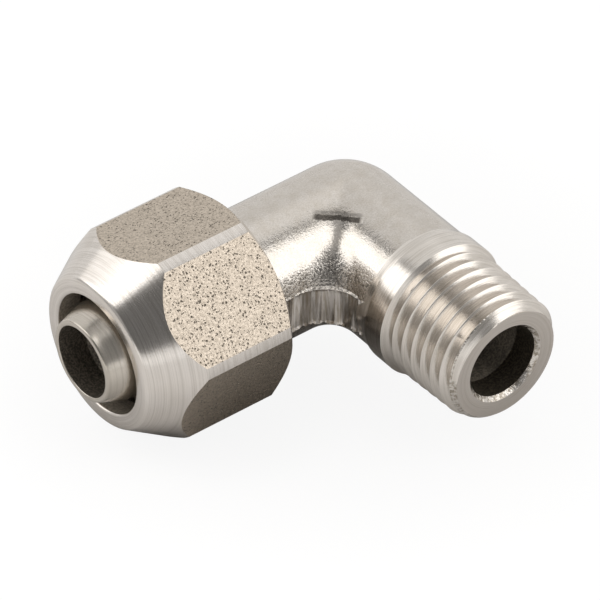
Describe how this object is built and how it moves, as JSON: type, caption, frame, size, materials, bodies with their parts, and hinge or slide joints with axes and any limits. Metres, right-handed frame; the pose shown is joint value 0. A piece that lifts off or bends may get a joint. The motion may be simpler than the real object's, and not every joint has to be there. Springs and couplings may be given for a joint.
{
  "type": "elbow push-on tube fitting",
  "caption": "Ninety degree pneumatic elbow with a taper pipe thread, a spigot for plastic tube and a hexagon union nut.",
  "frame": {"origin": "where the axes of the two limbs cross, on the axis of the port bore", "axes": "-X along the tube side towards its mouth, -Y along the taper thread towards its end, +Z across the plane of the bend"},
  "size_m": [0.0377, 0.0345, 0.0206],
  "materials": {
    "forged_nickel": "nickel plated forged and turned brass, satin",
    "turned_nickel": "nickel plated turned brass, grained flats"
  },
  "bodies": {
    "body": {"elbow_body": "forged_nickel"},
    "nut": {"union_nut": "turned_nickel"}
  },
  "joints": [
    {"name": "nut_unscrew", "type": "slide", "parent": "body", "child": "nut", "axis": [-1, 0, 0], "range_m": [0, 0.006]}
  ]
}
